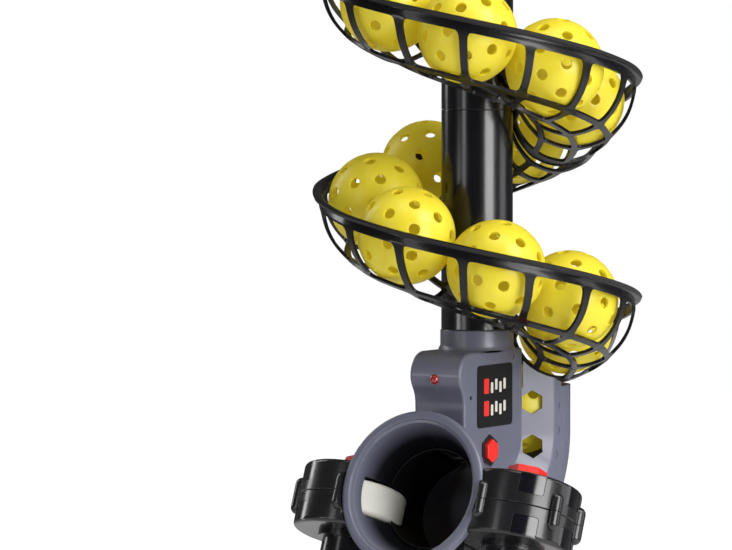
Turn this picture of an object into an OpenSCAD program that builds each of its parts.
// Ball pitching machine: spiral ball feeder on a pole, two-wheel head, folding tripod.
// +X is the machine's right as the ball leaves, the ball leaves towards -Y, +Z is up.
// The origin is on the floor at the centre of the footprint.

/* [Ball] */
// Diameter of one practice ball
ball_d = 72; // [70:0.5:73]
// Thickness of a ball's wall
ball_wall = 2; // [1.5:0.1:2.5]
// Diameter of the holes in a ball
ball_hole_d = 8; // [6:0.5:9]

/* [Feeder] */
// Outer radius of the feeder pole
pole_r = 26.6; // [26.4:0.1:26.8]
// Wall of the feeder pole
pole_wall = 2; // [1.6:0.1:2.2]
// Height of one feeder section
section_h = 163; // [160:1:166]
// Outer radius of the spiral trough's wall
trough_r = 118; // [117:0.5:119]
// Fall of the trough over one full turn
trough_pitch = 159; // [156:0.5:160]
// Thickness of the trough's bars
trough_t = 2.6; // [2:0.1:3.2]
// Ribs in one turn of trough
trough_ribs = 15; // [12:1:18]
// Angle from one ball in the trough to the next
ball_step = 53.7; // [53.7:0.1:55]
// Balls lying in the trough
trough_balls = 13; // [1:1:13]

/* [Head] */
// Width of the narrow part of the head
cheek_w = 43; // [42:0.5:44]
// Upward pitch of the barrel
pitch = 18; // [17:0.5:19]
// Outer radius of the barrel's mouth ring
ring_r = 58.5; // [57:0.5:60]
// Outer radius of the barrel tube
barrel_r = 41; // [40.5:0.1:41]
// Inner radius of the barrel tube
bore_r = 38; // [37.5:0.1:38.5]
// Inner radius of the ball chute
chute_bore_r = 37; // [36.8:0.1:37.2]
// Wall of the moulded shells
shell_t = 2.5; // [2.2:0.1:2.8]

/* [Wheels] */
// Radius of a throwing wheel
wheel_r = 36.7; // [36:0.1:37]
// Width of a throwing wheel
wheel_w = 26; // [24:0.5:30]
// Distance from the barrel's axis to a wheel's axis
wheel_x = 69.7; // [69:0.1:71]
// Outer radius of a wheel housing
housing_r = 42.5; // [42:0.1:43]
// Height of a wheel housing
housing_h = 48; // [46:1:50]

/* [Stand] */
// Height of the head's collar above the floor
collar_z = 780; // [770:5:800]
// Distance from the column to the centre of a foot
foot_reach = 320; // [300:5:340]
// Radius of a foot
foot_r = 17; // [15:1:20]
// Outer radius of the sliding inner tube
mast_r = 14; // [13.5:0.1:14.5]
// Outer radius of the fixed outer tube
column_r = 17; // [17:0.1:17.5]

/* [Hidden] */
$fn = 64;

ball_r = ball_d / 2;
gap = 0.1;
run = 0.05;
grey = "#55575f";
black = "#1b1b1d";
red = "#e02a22";
steel = "#a9adb3";

// The column stands behind the origin, so that the three feet centre on the origin.
col_y = foot_reach / 4;

// Head frame: origin at the top of the collar on the pole's axis.
module head_frame() translate([0, col_y, collar_z]) children();

// Extrudes a side profile, drawn as (Y, Z), across X.
module across(w) rotate([90, 0, 90]) linear_extrude(w, center = true) children();

// Barrel frame: origin at the mouth, local Z out of the mouth, local Y upwards.
ring_y = -96;
ring_z = -111;
module barrel_frame() translate([0, ring_y, ring_z]) rotate([90 - pitch, 0, 0]) children();

// Wheel frame: origin at a wheel's centre, local Z up along its shaft, which leans back a little
// more than the barrel. The wheels sit low, so that they grip the ball under its middle.
wheel_back = 41;
wheel_drop = 7.5;
wheel_lean = 4;
module wheel_place(side) translate([side * wheel_x, -wheel_drop, -wheel_back])
  rotate([-90 - wheel_lean, 0, 0]) children();
module wheel_frame(side) barrel_frame() wheel_place(side) children();
// Undoes wheel_place: draws in the barrel's frame from inside a wheel's.
module from_wheel(side) rotate([90 + wheel_lean, 0, 0])
  translate([-side * wheel_x, wheel_drop, wheel_back]) children();

// ---- Head shells ----
collar_r = 27.2;
collar_h = 16;
spigot_r = pole_r - pole_wall - 0.2;
boss_y = -45;
boss_z = -31.5;
boss_r = 17;
neck_y = -50;
cheek_low = -118;
chute_y = 63;
chute_r = 39.5;
chute_top = -45;
facet_y = 15;
bend_y = 3;
bend_z = -80;
bend_r = chute_y - bend_y;
bend_angle = 90 + pitch;
flare_s = -32;
lip_t = 6;
mouth_r = 50;
// Where the bend meets the barrel, as a distance behind the mouth.
bend_s = (bend_y - bend_r * sin(pitch) - ring_y) / cos(pitch);
star_reach = 24;
star_tip_r = 3;
star_w = 20;
axle_r = 3;
button_y = -19;
button_z = -88.6;
button_r = 8.8;
light_z = -34;
window_z = [-56, -89];
window_r = 9;

star_slot_w = star_w + 4;
star_sweep = star_reach + star_tip_r + 2;
chute_front = chute_y - chute_r;

// Side profile of the narrow part, drawn d inside its outer line.
module cheek_profile(d) {
  back = chute_front - gap;
  translate([boss_y, boss_z]) circle(boss_r - d);
  translate([boss_y, boss_z - boss_r + d]) square([back - boss_y - d, 2 * boss_r - 2 * d]);
  translate([neck_y + d, cheek_low]) square([back - neck_y - 2 * d, boss_z - cheek_low]);
}

// Plan of the chute: round behind, two flats at 45 degrees in front. x is away from the column.
module chute_plan() {
  flat = chute_r - 0.1;
  intersection() {
    circle(chute_r);
    translate([-1, -chute_r - 1]) square([chute_r + 2, 2 * chute_r + 2]);
  }
  polygon([[2, flat], [-facet_y, flat], [-flat, facet_y], [-flat, -facet_y],
    [-facet_y, -flat], [2, -flat]]);
}

// Wall of one half of the chute, with the slot that the feed star's arms pass through.
module chute_wall(half) difference() {
  intersection() {
    chute_plan();
    translate([-60, half > 0 ? gap : -60 - gap]) square([120, 60]);
  }
  circle(chute_bore_r);
  translate([-60, -star_slot_w / 2]) square([60 - bend_r + star_sweep, star_slot_w]);
}

// Sweeps a plan round the bend, from straight down to along the barrel.
module bend_sweep() translate([0, bend_y, bend_z]) rotate([90, 0, 90])
  rotate([0, 0, -bend_angle]) rotate_extrude(angle = bend_angle)
  translate([bend_r, 0]) children();

module chute_shell(side) color(grey) head_frame() {
  difference() {
    translate([0, chute_y, bend_z + gap]) rotate([0, 0, 90])
      linear_extrude(chute_top - bend_z - gap) chute_wall(-side);
    for (z = window_z) translate([0, chute_y, z]) rotate([0, 0, -side * 45])
      translate([side * chute_r, 0, 0]) hex_across(window_r, 12);
  }
  bend_sweep() chute_wall(side);
}

module left_chute_shell() chute_shell(-1);
module right_chute_shell() mirror([1, 0, 0]) chute_shell(-1);

// Half section of the barrel, as (radius, distance along its axis).
module barrel_section() polygon([
  [bore_r, -bend_s + gap], [barrel_r, -bend_s + gap], [barrel_r, flare_s], [ring_r, -lip_t],
  [ring_r, 0], [mouth_r + 3, 0], [mouth_r + 3, -2.5], [mouth_r, -2.5], [bore_r, flare_s]]);

module barrel_shell(side) color(grey) head_frame() difference() {
  barrel_frame() translate([side * gap, 0, 0]) rotate([0, 0, -side * 90])
    rotate_extrude(angle = 180) barrel_section();
  wheel_frame(side) cylinder(h = wheel_w + 4, r = wheel_r + 2, center = true);
  barrel_frame() translate([-star_slot_w / 2, 10, -bend_s - 1])
    cube([star_slot_w, 50, 42]);
}

module left_barrel_shell() barrel_shell(-1);
module right_barrel_shell() barrel_shell(1);

module hex_across(r, w) rotate([0, 90, 0]) cylinder(h = w, r = r, center = true, $fn = 6);

shell_screws = [[-38, -66], [17, -21]];

// Extrudes a side profile across X on one side only, from x0 to x1.
module across_side(side, x0, x1) translate([side > 0 ? x0 : -x1, 0, 0]) rotate([90, 0, 90])
  linear_extrude(x1 - x0) children();

module head_shell(side) color(grey) head_frame() {
  half_w = cheek_w / 2;
  difference() {
    across_side(side, gap, half_w) cheek_profile(0);
    across_side(side, 0, half_w - shell_t) intersection() {
      cheek_profile(shell_t);
      translate([-80, -90]) square([150, 80]);
    }
    barrel_frame() translate([0, 0, -bend_s]) cylinder(h = 2 * bend_s, r = barrel_r + gap);
    barrel_frame() translate([0, 0, flare_s])
      cylinder(h = -flare_s - lip_t, r1 = barrel_r + gap, r2 = ring_r + gap);
    bend_sweep() translate([-chute_r - gap, -chute_r]) square([2 * chute_r, 2 * chute_r]);
    translate([0, 0, -collar_h - 5]) cylinder(h = collar_h + 24, r = spigot_r - 2.2);
    translate([0, bend_y, bend_z]) rotate([0, 90, 0])
      cylinder(h = star_slot_w, r = star_sweep, center = true);
    translate([0, bend_y, bend_z]) rotate([0, 90, 0]) {
      cylinder(h = cheek_w - 1.6, r = axle_r + run, center = true);
      cylinder(h = cheek_w - 2 * shell_t, r = gear_m * teeth_gear / 2 + 2, center = true);
    }
    if (side > 0) {
      translate([half_w, button_y, button_z]) {
        hex_across(button_r + 2, 2.4);
        hex_across(button_r + 0.2, 12);
      }
      for (p = shell_screws) translate([half_w, p[0], p[1]]) rotate([0, 90, 0])
        cylinder(h = 14, r = 1.6, center = true);
    }
    translate([0, -boss_r + boss_y, light_z]) rotate([90, 0, 0])
      cylinder(h = 12, r = 3.1, center = true);
  }
  // Collar and the spigot that carries the pole.
  translate([side * gap, 0, 0]) rotate([0, 0, -side * 90]) rotate_extrude(angle = 180) {
    translate([spigot_r - 2.2, -collar_h + 1.5]) square([2.2, collar_h + 16]);
    translate([spigot_r - 2.2, -collar_h + 1.5]) square([collar_r - spigot_r + 2.2, collar_h - 1.5]);
  }
}

module left_head_shell() head_shell(-1);
module right_head_shell() head_shell(1);

// Screws that hold the label side of the shells together, seen as small pan heads.
module head_screws() color(steel) head_frame() for (p = shell_screws)
  translate([cheek_w / 2 - 5, p[0], p[1]]) rotate([0, 90, 0]) cylinder(h = 4.2, r = 1.5);

// Thin sleeve behind the mouth that guides the ball between the wheels.
guide_r = bore_r - 0.2;
module ball_guide() color(black) head_frame() barrel_frame() difference() {
  translate([0, 0, -bend_s + 0.6]) cylinder(h = bend_s + flare_s - 1, r = guide_r);
  translate([0, 0, -bend_s - 1]) cylinder(h = bend_s + 4, r = guide_r - 1.2);
  for (side = [-1, 1]) wheel_place(side)
    cylinder(h = wheel_w + 3, r = wheel_r + 2, center = true);
  translate([0, 20, -70]) cube([star_w + 6, 60, 60], center = true);
}

module status_light() color(red) head_frame() translate([0, -boss_r + boss_y, light_z])
  rotate([90, 0, 0]) {
    translate([0, 0, -6.4]) cylinder(h = 6.4, r = 3);
    intersection() {
      translate([0, 0, -0.6]) sphere(3.8);
      translate([-6, -6, 0.1]) cube(12);
    }
  }

module control_board() color("#1d6b3c") head_frame() {
  translate([-15, -54.8, -41]) cube([30, 1.6, 17]);
  translate([-12, -53.2, -38]) cube([8, 2, 8]);
  translate([3, -53.2, -37]) cube([10, 1.4, 6]);
  translate([cheek_w / 2 - 8.6, button_y - 4, button_z - 1]) cube([2, 8, 8]);
}

label_y = [-37, 14.5];
label_z = [-71, -25];
module label_plate() color("#111113") head_frame() {
  r = 3;
  w = label_y[1] - label_y[0] - 2 * r;
  h = label_z[1] - label_z[0] - 2 * r;
  translate([cheek_w / 2 + 0.45, label_y[0] + r, label_z[0] + r]) across(0.8) {
    translate([-r, 0]) square([w + 2 * r, h]);
    translate([0, -r]) square([w, h + 2 * r]);
    for (y = [0, w], z = [0, h]) translate([y, z]) circle(r);
  }
}

module power_button() color(red) head_frame() translate([cheek_w / 2, button_y, button_z]) {
  translate([1.85, 0, 0]) hex_across(button_r, 3.5);
  translate([-1.5, 0, 0]) hex_across(6, 3.4);
}

// ---- Feed drive ----
gear_m = 1.5;
gear_w = 4.5;
gear_x = -14.75;
motor_y = -35;
motor_z = -46;
teeth_gear = 22;
teeth_idler = 17;
teeth_pinion = 12;
train = [motor_y - bend_y, motor_z - bend_z];
train_angle = atan2(train[1], train[0]);
idler_d = gear_m * (teeth_gear + teeth_idler) / 2;
idler_y = bend_y + idler_d * cos(train_angle);
idler_z = bend_z + idler_d * sin(train_angle);

// Involute of a base circle at roll angle a in degrees, as a point.
function involute(rb, a) =
  [rb * (cos(a) + a * PI / 180 * sin(a)), rb * (sin(a) - a * PI / 180 * cos(a))];
function turned(p, a) = [p[0] * cos(a) - p[1] * sin(a), p[0] * sin(a) + p[1] * cos(a)];
function roll(rb, r) = sqrt(max(0, pow(r / rb, 2) - 1)) * 180 / PI;
function roll_turn(rb, r) = roll(rb, r) - atan(roll(rb, r) * PI / 180);

// Spur gear blank with one tooth centred on +x.
module gear_plan(teeth) {
  rp = gear_m * teeth / 2;
  rb = rp * cos(20);
  ra = rp + 0.9 * gear_m;
  rr = rp - 1.25 * gear_m;
  half_tooth = 90 / teeth * 0.93 + roll_turn(rb, rp);
  steps = 5;
  flank = [for (i = [0:steps]) let (a = roll(rb, ra) * i / steps)
    turned(involute(rb, a), -half_tooth)];
  mirrored = [for (i = [0:steps]) [flank[steps - i][0], -flank[steps - i][1]]];
  root = min(rr, rb);
  tooth = concat([[root - 0.2, flank[0][1]]], flank, mirrored, [[root - 0.2, -flank[0][1]]]);
  circle(rr);
  for (i = [0:teeth - 1]) rotate(i * 360 / teeth) polygon(tooth);
}

// Turn that puts a gap of the idler over a tooth of its neighbour.
module gear_at(y, z, teeth, turn, bore) translate([gear_x, y, z]) rotate([90, 0, 90])
  difference() {
    linear_extrude(gear_w, center = true) rotate(turn) gear_plan(teeth);
    cylinder(h = gear_w + 1, r = bore, center = true);
  }

idler_turn = train_angle + 180 + 180 / teeth_idler;
// The idler meets the pinion with whatever tooth phase it has on that side.
idler_phase = idler_turn - train_angle;
pinion_turn = train_angle + 180 - idler_phase * teeth_idler / teeth_pinion
  + 180 / teeth_pinion;

module feed_gear() color("#d9d4c5") head_frame()
  gear_at(bend_y, bend_z, teeth_gear, train_angle, axle_r + 0.02);
module feed_idler() color("#d9d4c5") head_frame()
  gear_at(idler_y, idler_z, teeth_idler, idler_turn, 2 + run);
module feed_pinion() color("#d8b25a") head_frame()
  gear_at(motor_y, motor_z, teeth_pinion, pinion_turn, 1.02);

module idler_pin() color(steel) head_frame() translate([-cheek_w / 2 + shell_t + 0.05, idler_y, idler_z])
  rotate([0, 90, 0]) {
    cylinder(h = 7.4, r = 2);
    translate([0, 0, 7.4]) cylinder(h = 1, r = 3.4);
  }

module feed_motor() color(steel) head_frame() translate([0, motor_y, motor_z])
  rotate([0, 90, 0]) {
    translate([0, 0, -11.5]) cylinder(h = 29, r = 9);
    translate([0, 0, -17]) cylinder(h = 6, r = 1);
  }

star_angle = -21.5;
module feed_star() color("#e9e4d8") head_frame() translate([0, bend_y, bend_z]) across(star_w)
  difference() {
    union() {
      circle(9);
      for (i = [0:2]) rotate(star_angle + 120 * i) {
        translate([0, -star_tip_r]) square([star_reach, 2 * star_tip_r]);
        translate([star_reach, 0]) circle(star_tip_r);
      }
    }
    circle(axle_r + 0.02);
  }

module feed_axle() color(steel) head_frame() translate([0, bend_y, bend_z])
  rotate([0, 90, 0]) cylinder(h = cheek_w - 2, r = axle_r, center = true);

// ---- Feeder pole and spiral trough ----
module pole_section(z, spigot) color(black) head_frame() translate([0, 0, z]) difference() {
  union() {
    cylinder(h = section_h - gap, r = pole_r);
    if (spigot) cylinder(h = section_h + 15, r = spigot_r);
  }
  if (spigot) translate([0, 0, 20]) cylinder(h = section_h, r = spigot_r - 2.2);
  translate([0, 0, -1]) cylinder(h = spigot ? 21.5 : section_h + 2, r = pole_r - pole_wall);
}

module lower_pole() pole_section(gap, true);
module upper_pole() pole_section(section_h + gap, false);

module pole_cap() color(black) head_frame() translate([0, 0, 2 * section_h + gap]) difference() {
  union() {
    cylinder(h = 4, r = pole_r + 0.6);
    translate([0, 0, -12]) cylinder(h = 14, r = spigot_r);
  }
  translate([0, 0, -13]) cylinder(h = 13, r = spigot_r - 2);
}

// Angles run from the front (-Y) towards +X; the trough falls as the angle grows.
trough_end = 151;
trough_start = trough_end - 359.7;
rim_ref_z = 62.3;
rim_ref_angle = 30;
fall = trough_pitch / 360;
section_r = 45.5;
section_d = 45.8;
trough_mid_r = trough_r - section_r;
rim_h = 6;
function rim_z(a) = rim_ref_z - fall * (a - rim_ref_angle);

// Cross-section of the trough: [radius, height below the rim] at an angle, t inside its skin.
function bowl(t, angle) = [trough_mid_r + (section_r - t) * cos(angle),
  -rim_h + (section_d - t) * sin(angle)];
wall_angles = [-4, -26, -51, -64, -85, -95, -118, -130, -144, -158, -168];
open_rows = [2, 3, 5, 7, 9, 10];
function section_point(j, t) =
  j == 0 ? [trough_r + 4 - t * 0.3, 0 - t * 0.9] :
  j == 1 ? [trough_r - t, -t * 0.2 - 1] :
  bowl(t, wall_angles[j - 2]);
section_n = len(wall_angles) + 2;

// Ribs stand at even angles, with one more at the start and a wide last one at the low end.
rib_half = 1.45;
last_rib = 145;
cell = 360 / trough_ribs;
function rib_angle(n) = n == 0 ? trough_start + rib_half : last_rib - cell * (trough_ribs - n);
function stop_angle(i) = i == stops_n ? trough_end :
  let (n = floor(i / 4), k = i % 4, a = rib_angle(n) + rib_half, b = rib_angle(n + 1) - rib_half)
  k == 0 ? a - 2 * rib_half : a + (b - a) * (k - 1) / 3;
stops_n = trough_ribs * 4 + 1;

function trough_point(i, j, t) =
  let (a = stop_angle(i), p = section_point(j, t))
  [p[0] * sin(a), -p[0] * cos(a), rim_z(a) + p[1]];
function in_list(v, list) = len([for (x = list) if (x == v) 1]) > 0;
// A cell of the grid is solid on a rib or between window rows.
function solid_cell(i, j) = i >= 0 && i < stops_n && j >= 0 && j < section_n - 1
  && (i % 4 == 0 || !in_list(j, open_rows));

// Corner of the grid on the outer (0) or inner (1) skin.
function grid_id(i, j, side) = (i * section_n + j) * 2 + side;
function quad(a, b, c, d) = [[a, b, c], [a, c, d]];
function skin(i, j) = concat(
  quad(grid_id(i, j, 0), grid_id(i, j + 1, 0), grid_id(i + 1, j + 1, 0), grid_id(i + 1, j, 0)),
  quad(grid_id(i, j, 1), grid_id(i + 1, j, 1), grid_id(i + 1, j + 1, 1), grid_id(i, j + 1, 1)));
// Wall between the two skins along the edge from corner (i, j) to corner (m, n).
function edge_wall(i, j, m, n) =
  quad(grid_id(i, j, 0), grid_id(i, j, 1), grid_id(m, n, 1), grid_id(m, n, 0));
function cell_faces(i, j) = concat(
  skin(i, j),
  solid_cell(i - 1, j) ? [] : edge_wall(i, j, i, j + 1),
  solid_cell(i + 1, j) ? [] : edge_wall(i + 1, j + 1, i + 1, j),
  solid_cell(i, j - 1) ? [] : edge_wall(i + 1, j, i, j),
  solid_cell(i, j + 1) ? [] : edge_wall(i, j + 1, i + 1, j + 1));

module trough(z) color(black) head_frame() translate([0, 0, z]) polyhedron(
  [for (i = [0:stops_n], j = [0:section_n - 1], side = [0, 1])
    trough_point(i, j, side * trough_t)],
  [for (i = [0:stops_n - 1], j = [0:section_n - 2]) if (solid_cell(i, j)) each cell_faces(i, j)]);

module lower_trough() trough(0);
module upper_trough() trough(section_h);

// One hollow ball with a hole at each end of three square axes.
module ball() difference() {
  sphere(ball_r);
  sphere(ball_r - ball_wall);
  for (d = [[0, 0], [90, 0], [90, 90]])
    rotate([0, d[0], d[1]]) cylinder(h = ball_d + 2, r = ball_hole_d / 2, center = true);
}

ball_path_r = 75.5;
ball_drop = 10;
first_ball = 148;
chute_ball_y = chute_y + 0.7;
chute_ball_z = -62;
module practice_balls() color("#f2df1d") head_frame() {
  for (k = [0:trough_balls - 1]) {
    a = first_ball - ball_step * k;
    step = a < trough_start ? section_h - trough_pitch : 0;
    translate([ball_path_r * sin(a), -ball_path_r * cos(a), rim_z(a) + step - ball_drop])
      rotate([37 * k, 23 * k, 51 * k]) ball();
  }
  translate([0, chute_ball_y, chute_ball_z]) rotate([20, 35, 0]) ball();
}

// ---- Wheel units ----
rib_angles = [-105, -25, 25, 105];
panel_angles = [-53, 0, 53];
panel_half = 13;
panel_h = 16;
pot_h = 4;

module capsule(l, w, h) linear_extrude(h) {
  square([w, l - w], center = true);
  for (s = [-1, 1]) translate([0, s * (l - w) / 2]) circle(w / 2);
}

// Wedge from the shaft outwards, used to cut panels out of the housing's skin.
module wedge(half, z0, z1) linear_extrude_range(z0, z1)
  polygon([[0, 0], [60 * cos(half), -60 * sin(half)], [60 * cos(half), 60 * sin(half)]]);
module linear_extrude_range(z0, z1) translate([0, 0, z0]) linear_extrude(z1 - z0) children();

// Faces away from the barrel on either side of the machine.
module outward(side, a) rotate([0, 0, side > 0 ? a : 180 - a]) children();

module barrel_clearance(side) from_wheel(side) {
  cylinder(h = 200, r = barrel_r + 0.2, center = true);
  translate([0, 0, flare_s])
    cylinder(h = -flare_s - lip_t, r1 = barrel_r + 0.2, r2 = ring_r + 0.2);
  translate([0, 0, -lip_t - 0.01]) cylinder(h = 30, r = ring_r + 0.2);
}

module housing(side, up) color(black) head_frame() wheel_frame(side) difference() {
  h = housing_h / 2;
  union() {
    translate([0, 0, up > 0 ? gap / 2 : -h]) cylinder(h = h - gap / 2, r = housing_r);
    intersection() {
      for (a = rib_angles) outward(side, a) translate([housing_r - 2, 0, 0])
        rotate([0, 90, 0]) rotate([0, 0, 90]) capsule(24, 7, 6.5);
      translate([-80, -80, up > 0 ? gap / 2 : -h]) cube([160, 160, h - gap / 2]);
    }
  }
  translate([0, 0, up > 0 ? -1 : -h + shell_t]) cylinder(h = h - shell_t + 1, r = housing_r - shell_t);
  barrel_clearance(side);
  for (a = panel_angles) outward(side, a) difference() {
    wedge(panel_half, up > 0 ? h - panel_h : -h - 1, up > 0 ? h + 1 : -h + panel_h);
    cylinder(h = 100, r = housing_r - 1.3, center = true);
  }
  if (up > 0) cylinder(h = 100, r = 3.2);
  else translate([0, 0, -50]) cylinder(h = 50, r = 6);
}

module side_panels(side) head_frame() wheel_frame(side) {
  h = housing_h / 2;
  for (a = panel_angles, up = [-1, 1]) outward(side, a) intersection() {
    wedge(panel_half - 0.3, up > 0 ? h - panel_h + 0.3 : -h, up > 0 ? h : -h + panel_h - 0.3);
    difference() {
      cylinder(h = 100, r = housing_r - 0.4, center = true);
      cylinder(h = 101, r = housing_r - 1.2, center = true);
    }
  }
}

hub_r = 26;
module wheel_tyre(side) color("#ece7da") head_frame() wheel_frame(side) rotate_extrude() {
  r = 4;
  h = wheel_w / 2;
  translate([hub_r + gap, -h]) square([wheel_r - hub_r - gap - r, wheel_w]);
  translate([hub_r + gap, -h + r]) square([wheel_r - hub_r - gap, wheel_w - 2 * r]);
  for (s = [-1, 1]) translate([wheel_r - r, s * (h - r)]) circle(r);
}

module wheel_hub(side) color("#26272b") head_frame() wheel_frame(side) difference() {
  union() {
    cylinder(h = 26, r = hub_r, center = true);
    cylinder(h = 29, r = 8, center = true);
  }
  cylinder(h = 40, r = 2.02, center = true);
  for (s = [-1, 1]) translate([0, 0, s * 18]) difference() {
    cylinder(h = 20, r = 22.5, center = true);
    cylinder(h = 21, r = 8, center = true);
  }
  for (i = [0:5]) rotate(i * 60) translate([15, 0, 0]) cylinder(h = 40, r = 4.5, center = true);
}

shaft_low = -44;
module wheel_shaft(side) color(steel) head_frame() wheel_frame(side)
  translate([0, 0, shaft_low]) cylinder(h = 56, r = 2);

motor_top = -25;
motor_l = 34;
module wheel_motor(side) head_frame() wheel_frame(side) difference() {
  union() {
    translate([0, 0, motor_top - motor_l]) cylinder(h = motor_l, r = 14);
    translate([0, 0, motor_top]) cylinder(h = 2.5, r = 5);
  }
  translate([0, 0, shaft_low - 1]) cylinder(h = 60, r = 2 + run);
}

pod_r = 19;
pod_l = 40;
module motor_pod(side) head_frame() wheel_frame(side)
  translate([0, 0, -housing_h / 2 - gap]) rotate([180, 0, 0]) difference() {
    union() {
      cylinder(h = 4, r = pod_r + 4);
      cylinder(h = pod_l, r = pod_r);
      translate([0, 0, pod_l]) cylinder(h = 7, r1 = pod_r, r2 = 9);
    }
    translate([0, 0, -0.01]) cylinder(h = pod_l + 0.01, r = 16.6);
    translate([0, 0, pod_l - 0.01]) cylinder(h = 5, r1 = 16.6, r2 = 8);
    translate([0, 0, -7]) cylinder(h = 8, r = 20.2);
  }

dial_r = 17;
dial_h = 11.5;
module speed_dial(side) color(red) head_frame() wheel_frame(side) {
  translate([0, 0, housing_h / 2 + gap]) rotate([0, 0, 30])
    cylinder(h = dial_h, r1 = dial_r, r2 = 14, $fn = 6);
  translate([0, 0, housing_h / 2 - 6]) cylinder(h = 7, r = 3);
}

module speed_potentiometers() color("#2c6e8f") head_frame() for (side = [-1, 1])
  wheel_frame(side) translate([0, 0, housing_h / 2 - shell_t - gap - pot_h]) difference() {
    cylinder(h = pot_h, r = 9);
    translate([0, 0, -1]) cylinder(h = pot_h + 2, r = 3 + run);
  }

module housing_panels() color("#33363c") for (side = [-1, 1]) side_panels(side);
module wheel_motors() color(steel) for (side = [-1, 1]) wheel_motor(side);
module motor_pods() color(black) for (side = [-1, 1]) motor_pod(side);
module left_upper_housing() housing(-1, 1);
module left_lower_housing() housing(-1, -1);
module left_wheel_tyre() wheel_tyre(-1);
module left_wheel_hub() wheel_hub(-1);
module left_wheel_shaft() wheel_shaft(-1);
module left_speed_dial() speed_dial(-1);
module right_upper_housing() housing(1, 1);
module right_lower_housing() housing(1, -1);
module right_wheel_tyre() wheel_tyre(1);
module right_wheel_hub() wheel_hub(1);
module right_wheel_shaft() wheel_shaft(1);
module right_speed_dial() speed_dial(1);

// ---- Battery case under the barrel, in the barrel's frame ----
case_w = 62;
case_h = 58;
case_l = 56;
case_top = -41.5;
case_s = -92;
door_t = 2.5;
cell_r = 13;
cell_l = 50;
hinge_y = case_top - case_h - door_t - 1.5;
hinge_s = case_s + 3;

module battery_box() color(black) head_frame() barrel_frame() {
  difference() {
    translate([-case_w / 2, case_top - case_h, case_s]) cube([case_w, case_h + 12, case_l]);
    translate([-case_w / 2 + 2, case_top - case_h - 1, case_s + 2])
      cube([case_w - 4, case_h - 1, case_l - 4]);
    translate([0, 0, case_s - 1]) cylinder(h = case_l + 2, r = barrel_r + 0.2);
    for (side = [-1, 1]) wheel_place(side)
      cylinder(h = housing_h + 1, r = housing_r + 0.5, center = true);
  }
  for (s = [-1, 1]) difference() {
    translate([s * 24 - 3, hinge_y - 2.5, hinge_s - 3]) cube([6, 6.4, 6]);
    translate([s * 24 - 4, hinge_y, hinge_s]) rotate([0, 90, 0]) cylinder(h = 8, r = 1.25);
  }
}

module battery_cells() color("#b9772d") head_frame() barrel_frame()
  for (x = [-1, 1], y = [0, 1]) translate([x * 14, case_top - 17 - 26.4 * y, case_s + 2.6]) {
    cylinder(h = cell_l - 1.6, r = cell_r);
    cylinder(h = cell_l, r = 3.5);
  }

module battery_door() color(black) head_frame() barrel_frame() {
  translate([-case_w / 2, case_top - case_h - door_t - gap, case_s + 8]) cube([case_w, door_t, case_l - 8]);
  translate([-20, hinge_y - 2, hinge_s - 2]) cube([40, 4, 7.5]);
  translate([-27, hinge_y, hinge_s]) rotate([0, 90, 0]) cylinder(h = 54, r = 1.2);
}

// ---- Tilt head ----
tilt_z = -214;
tongue_w = 16;
module tilt_tongue() color(black) head_frame() difference() {
  union() {
    translate([-15, -19, -186]) cube([30, 44, 20]);
    across(tongue_w) {
      translate([0, tilt_z]) circle(14);
      translate([-14, tilt_z]) square([28, -180 - tilt_z]);
    }
  }
  translate([0, bend_y, bend_z]) rotate([90, 0, 90]) rotate([0, 0, -bend_angle - 2])
    rotate_extrude(angle = bend_angle + 4) translate([bend_r, 0]) circle(chute_r + 0.1);
  translate([0, 0, tilt_z]) rotate([0, 90, 0]) cylinder(h = 40, r = 4 + run, center = true);
}

yoke_t = 6;
module tilt_yoke() color(black) head_frame() difference() {
  union() {
    for (s = [-1, 1]) translate([s * (tongue_w / 2 + 0.2 + yoke_t / 2), 0, 0]) across(yoke_t) {
      translate([0, tilt_z]) circle(13);
      translate([-13, tilt_z - 32]) square([26, 32]);
    }
    translate([0, 0, tilt_z - 58]) cylinder(h = 40, r = 19);
  }
  translate([0, 0, tilt_z - 59]) cylinder(h = 30, r = mast_r + 0.02);
  translate([0, 0, tilt_z]) rotate([0, 90, 0]) cylinder(h = 60, r = 4 + run, center = true);
}

module tilt_bolt() color(steel) head_frame()
  translate([-tongue_w / 2 - yoke_t - 0.4, 0, tilt_z]) rotate([0, 90, 0]) {
    cylinder(h = 38, r = 4);
    translate([0, 0, -5]) cylinder(h = 5, r = 7.5, $fn = 6);
  }

// Knob with finger lobes round its rim.
module lobed_knob(r, h, lobes) linear_extrude(h) {
  circle(r * 0.78);
  for (i = [0:lobes - 1]) rotate(i * 360 / lobes) translate([r * 0.74, 0]) circle(r * 0.26);
}

module tilt_knob() color(red) head_frame()
  translate([tongue_w / 2 + yoke_t + 0.6, 0, tilt_z]) rotate([0, 90, 0]) difference() {
    union() {
      cylinder(h = 5, r = 10);
      translate([0, 0, 5]) lobed_knob(21, 12, 6);
    }
    translate([0, 0, -1]) cylinder(h = 12, r = 4 + run);
  }

// ---- Telescopic column ----
mast_top = collar_z + tilt_z - 29;
mast_low = 250;
column_top = 470;
column_low = 165;
column_bore = mast_r + 0.08;
module inner_tube() color(steel) translate([0, col_y, mast_low]) difference() {
  cylinder(h = mast_top - mast_low - gap, r = mast_r);
  translate([0, 0, -1]) cylinder(h = mast_top - mast_low + 2, r = mast_r - 1.8);
}

module outer_tube() color(black) translate([0, col_y, column_low]) difference() {
  cylinder(h = column_top - column_low, r = column_r);
  translate([0, 0, -1]) cylinder(h = column_top - column_low + 2, r = column_bore);
}

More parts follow.
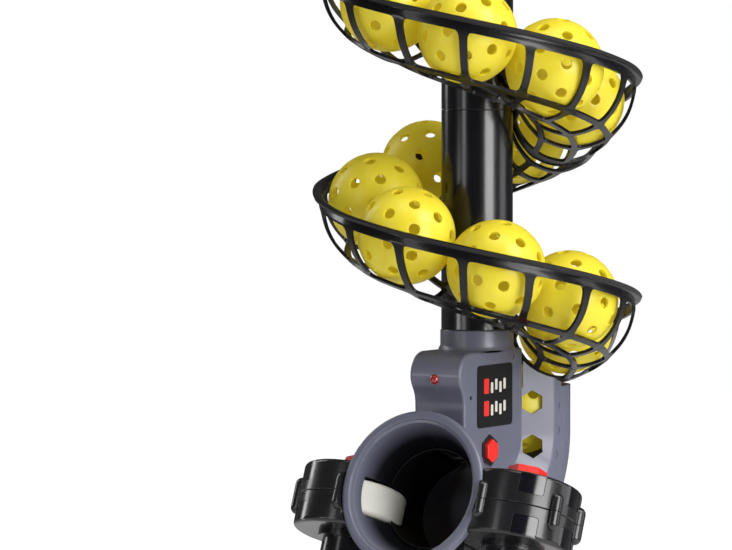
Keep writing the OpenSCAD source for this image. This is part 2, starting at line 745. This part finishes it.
clamp_h = 34;
clamp_z = column_top - 20;
knob_y = 33;
module height_clamp() color(black) translate([0, col_y, clamp_z]) difference() {
  union() {
    cylinder(h = clamp_h, r = 23);
    translate([-9, 0, 5]) cube([18, knob_y, 24]);
  }
  translate([0, 0, -1]) cylinder(h = 21, r = column_r + 0.05);
  translate([0, 0, 19]) cylinder(h = clamp_h, r = column_bore);
  translate([0, 10, 25]) rotate([-90, 0, 0]) cylinder(h = 60, r = 3 + run);
}

module height_knob() color(red) translate([0, col_y, clamp_z + 25]) rotate([-90, 0, 0]) {
  translate([0, 0, mast_r + 0.6]) cylinder(h = 24, r = 3);
  translate([0, 0, knob_y + 0.6]) cylinder(h = 5, r = 8);
  translate([0, 0, knob_y + 5]) lobed_knob(19, 12, 5);
}

// ---- Folding legs ----
hub_z = 225;
hub_low = 192;
hinge_r = 44;
leg_tube_r = 9;
foot_h = 26;
leg_run = foot_reach - hinge_r;
leg_fall = hub_z - foot_h + 4;
leg_len = sqrt(leg_run * leg_run + leg_fall * leg_fall);
leg_slope = atan2(leg_fall, leg_run);
leg_eye_w = 14;

// Turns a leg drawn towards +Y to one of its three places: 0 is the front leg.
module leg_place(i) translate([0, col_y, 0]) rotate([0, 0, 180 + 120 * i]) children();

module leg_hub() color(black) difference() {
  union() {
    translate([0, col_y, hub_low]) cylinder(h = 58, r = 26);
    for (i = [0:2]) leg_place(i) for (s = [-1, 1])
      translate([s * (leg_eye_w / 2 + 0.2 + 2.5), 0, 0]) across(5) {
        translate([hinge_r, hub_z]) circle(11);
        translate([18, hub_z - 11]) square([hinge_r - 18, 22]);
      }
  }
  translate([0, col_y, hub_low - 1]) cylinder(h = 60, r = column_r + 0.05);
  for (i = [0:2]) leg_place(i) translate([0, hinge_r, hub_z]) rotate([0, 90, 0])
    cylinder(h = 40, r = 3 + run, center = true);
}

module leg(i) color(steel) leg_place(i) translate([0, hinge_r, hub_z]) rotate([-leg_slope, 0, 0])
  difference() {
    union() {
      across(leg_eye_w) {
        circle(9);
        translate([0, -9]) square([28, 18]);
      }
      translate([0, 24, 0]) rotate([-90, 0, 0]) cylinder(h = leg_len - 24, r = leg_tube_r);
    }
    rotate([0, 90, 0]) cylinder(h = 40, r = 3 + run, center = true);
    translate([0, 30, 0]) rotate([-90, 0, 0]) cylinder(h = leg_len, r = leg_tube_r - 1.6);
  }

module leg_pins() color(steel) for (i = [0:2]) leg_place(i)
  translate([-14, hinge_r, hub_z]) rotate([0, 90, 0]) {
    cylinder(h = 28, r = 3);
    for (z = [-1.5, 28]) translate([0, 0, z]) cylinder(h = 1.5, r = 5);
  }

// Round foot with a sloping socket over the leg's end.
module foot(i) color("#202022") leg_place(i) difference() {
  union() {
    translate([0, foot_reach, 0]) cylinder(h = 8, r = foot_r);
    intersection() {
      translate([0, hinge_r, hub_z]) rotate([-leg_slope, 0, 0]) translate([0, leg_len - 38, 0])
        rotate([-90, 0, 0]) cylinder(h = 60, r = leg_tube_r + 3);
      translate([-30, foot_reach - 60, 0]) cube([60, 70, 70]);
    }
  }
  translate([0, hinge_r, hub_z]) rotate([-leg_slope, 0, 0]) translate([0, leg_len - 60, 0])
    rotate([-90, 0, 0]) cylinder(h = 60 + gap, r = leg_tube_r + gap);
}

module front_leg() leg(0);
module right_leg() leg(1);
module left_leg() leg(2);
module front_foot() foot(0);
module right_foot() foot(1);
module left_foot() foot(2);

left_head_shell();
right_head_shell();
left_chute_shell();
right_chute_shell();
left_barrel_shell();
right_barrel_shell();
head_screws();
ball_guide();
status_light();
control_board();
label_plate();
power_button();
feed_motor();
feed_pinion();
feed_idler();
idler_pin();
feed_gear();
feed_star();
feed_axle();
lower_pole();
upper_pole();
pole_cap();
lower_trough();
upper_trough();
practice_balls();
left_upper_housing();
left_lower_housing();
left_wheel_tyre();
left_wheel_hub();
left_wheel_shaft();
left_speed_dial();
right_upper_housing();
right_lower_housing();
right_wheel_tyre();
right_wheel_hub();
right_wheel_shaft();
right_speed_dial();
housing_panels();
wheel_motors();
motor_pods();
speed_potentiometers();
battery_box();
battery_cells();
battery_door();
tilt_tongue();
tilt_yoke();
tilt_bolt();
tilt_knob();
inner_tube();
outer_tube();
height_clamp();
height_knob();
leg_hub();
front_leg();
left_leg();
right_leg();
leg_pins();
front_foot();
left_foot();
right_foot();
